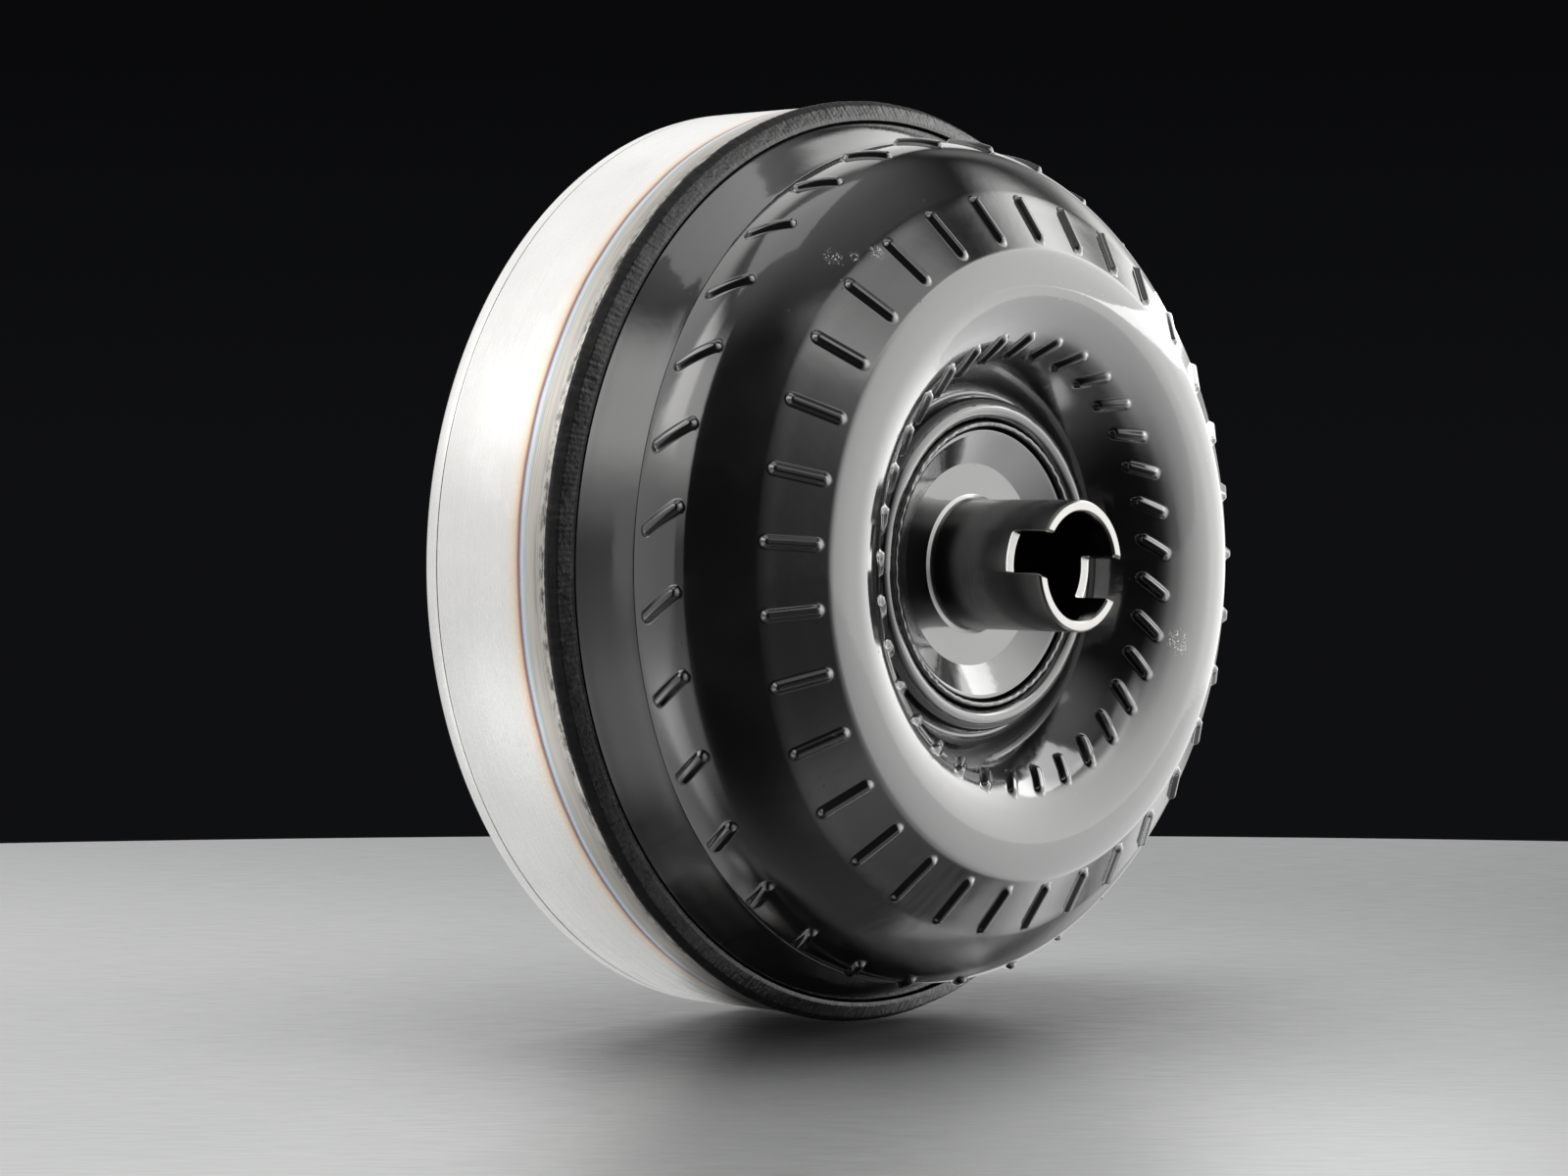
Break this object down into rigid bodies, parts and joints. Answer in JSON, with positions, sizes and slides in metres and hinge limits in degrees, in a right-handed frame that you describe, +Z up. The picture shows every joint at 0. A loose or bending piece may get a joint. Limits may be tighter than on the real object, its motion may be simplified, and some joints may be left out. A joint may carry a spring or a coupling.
{
  "type": "torque converter",
  "caption": "Welded lock-up torque converter: turned front cover, ridged pressed impeller shell and slotted hub around a bladed turbine, a free-wheeling stator and a damped clutch piston.",
  "frame": {"origin": "centre of the crank pilot's end face, on the axis of rotation", "axes": "+Y along the axis of rotation towards the engine; the hub nose points to -Y; +Z is up with the converter standing on its rim"},
  "size_m": [0.3346, 0.175, 0.3346],
  "materials": {
    "turned_steel": "fine turned, satin, heat tinted next to the weld",
    "black_paint": "gloss black paint over pressed steel",
    "weld_black": "rippled weld bead under black paint",
    "ground_hub_steel": "ground, dark satin, bright chamfers",
    "stamped_steel": "pressed steel, lightly oiled",
    "hardened_steel": "ground and hardened",
    "spring_steel": "blue-grey oil tempered",
    "cast_aluminium": "die cast with machined faces",
    "friction_paper": "porous paper friction material",
    "seal_rubber": "moulded",
    "bronze": "machined",
    "bearing_cage": "pressed cage with needles"
  },
  "bodies": {
    "housing": {"front_cover": "turned_steel", "crank_pilot": "turned_steel", "drive_lug_1": "turned_steel", "drive_lug_2": "turned_steel", "drive_lug_3": "turned_steel", "drive_lug_4": "turned_steel", "drive_lug_5": "turned_steel", "drive_lug_6": "turned_steel", "cover_weld": "weld_black", "impeller_shell": "black_paint", "impeller_vane_ring": "stamped_steel", "impeller_hub": "ground_hub_steel", "hub_weld": "weld_black", "balance_weight": "stamped_steel", "cover_thrust_washer": "bronze"},
    "turbine": {"turbine_hub": "hardened_steel", "turbine_shell": "stamped_steel", "turbine_vane_ring": "stamped_steel", "turbine_rivet_1": "hardened_steel", "turbine_rivet_2": "hardened_steel", "turbine_rivet_3": "hardened_steel", "turbine_rivet_4": "hardened_steel", "turbine_rivet_5": "hardened_steel", "turbine_rivet_6": "hardened_steel", "piston_seal": "seal_rubber"},
    "damper_hub": {"damper_driven_plate": "stamped_steel"},
    "piston": {"piston_plate": "stamped_steel", "friction_lining": "friction_paper", "damper_retainer": "stamped_steel", "damper_spring_1": "spring_steel", "damper_spring_2": "spring_steel", "damper_spring_3": "spring_steel", "damper_spring_4": "spring_steel", "damper_spring_5": "spring_steel", "damper_spring_6": "spring_steel"},
    "stator": {"stator_wheel": "cast_aluminium", "clutch_outer_race": "hardened_steel", "stator_front_cap": "cast_aluminium", "stator_rear_cap": "cast_aluminium", "clutch_spring_1": "spring_steel", "clutch_spring_2": "spring_steel", "clutch_spring_3": "spring_steel", "clutch_spring_4": "spring_steel", "clutch_spring_5": "spring_steel", "clutch_spring_6": "spring_steel"},
    "inner_race": {"clutch_inner_race": "hardened_steel"},
    "rear_bearing": {"rear_thrust_bearing": "bearing_cage"},
    "front_bearing": {"front_thrust_bearing": "bearing_cage"},
    "roller_1": {"clutch_roller_1": "hardened_steel"},
    "roller_2": {"clutch_roller_2": "hardened_steel"},
    "roller_3": {"clutch_roller_3": "hardened_steel"},
    "roller_4": {"clutch_roller_4": "hardened_steel"},
    "roller_5": {"clutch_roller_5": "hardened_steel"},
    "roller_6": {"clutch_roller_6": "hardened_steel"}
  },
  "joints": [
    {"name": "turbine_spin", "type": "hinge", "parent": "housing", "child": "turbine", "pos_m": [0, -0.075, 0], "axis": [0, 1, 0], "continuous": true},
    {"name": "lockup_travel", "type": "slide", "parent": "turbine", "child": "damper_hub", "axis": [0, 1, 0], "range_m": [0, 0.0012]},
    {"name": "damper_windup", "type": "hinge", "parent": "damper_hub", "child": "piston", "pos_m": [0, -0.0455, 0], "axis": [0, 1, 0], "range_deg": [-8, 8], "deforming": ["damper_spring_1", "damper_spring_2", "damper_spring_3", "damper_spring_4", "damper_spring_5", "damper_spring_6"]},
    {"name": "stator_spin", "type": "hinge", "parent": "housing", "child": "stator", "pos_m": [0, -0.1005, 0], "axis": [0, 1, 0], "continuous": true},
    {"name": "stator_freewheel", "type": "hinge", "parent": "stator", "child": "inner_race", "pos_m": [0, -0.1005, 0], "axis": [0, 1, 0], "continuous": true},
    {"name": "rear_bearing_spin", "type": "hinge", "parent": "housing", "child": "rear_bearing", "pos_m": [0, -0.1163, 0], "axis": [0, 1, 0], "continuous": true},
    {"name": "front_bearing_spin", "type": "hinge", "parent": "turbine", "child": "front_bearing", "pos_m": [0, -0.0847, 0], "axis": [0, 1, 0], "continuous": true},
    {"name": "roller_1_spin", "type": "hinge", "parent": "stator", "child": "roller_1", "pos_m": [0.03425, -0.1005, 0], "axis": [0, 1, 0], "continuous": true},
    {"name": "roller_2_spin", "type": "hinge", "parent": "stator", "child": "roller_2", "pos_m": [0.01713, -0.1005, 0.02966], "axis": [0, 1, 0], "continuous": true},
    {"name": "roller_3_spin", "type": "hinge", "parent": "stator", "child": "roller_3", "pos_m": [-0.01713, -0.1005, 0.02966], "axis": [0, 1, 0], "continuous": true},
    {"name": "roller_4_spin", "type": "hinge", "parent": "stator", "child": "roller_4", "pos_m": [-0.03425, -0.1005, 0], "axis": [0, 1, 0], "continuous": true},
    {"name": "roller_5_spin", "type": "hinge", "parent": "stator", "child": "roller_5", "pos_m": [-0.01713, -0.1005, -0.02966], "axis": [0, 1, 0], "continuous": true},
    {"name": "roller_6_spin", "type": "hinge", "parent": "stator", "child": "roller_6", "pos_m": [0.01713, -0.1005, -0.02966], "axis": [0, 1, 0], "continuous": true}
  ],
  "couplings": [
    {"joint": "rear_bearing_spin", "follows": "stator_spin", "ratio": 0.5},
    {"joint": "front_bearing_spin", "follows": "turbine_spin", "ratio": -0.5},
    {"joint": "roller_1_spin", "follows": "stator_freewheel", "ratio": -7.5},
    {"joint": "roller_2_spin", "follows": "stator_freewheel", "ratio": -7.5},
    {"joint": "roller_3_spin", "follows": "stator_freewheel", "ratio": -7.5},
    {"joint": "roller_4_spin", "follows": "stator_freewheel", "ratio": -7.5},
    {"joint": "roller_5_spin", "follows": "stator_freewheel", "ratio": -7.5},
    {"joint": "roller_6_spin", "follows": "stator_freewheel", "ratio": -7.5}
  ]
}
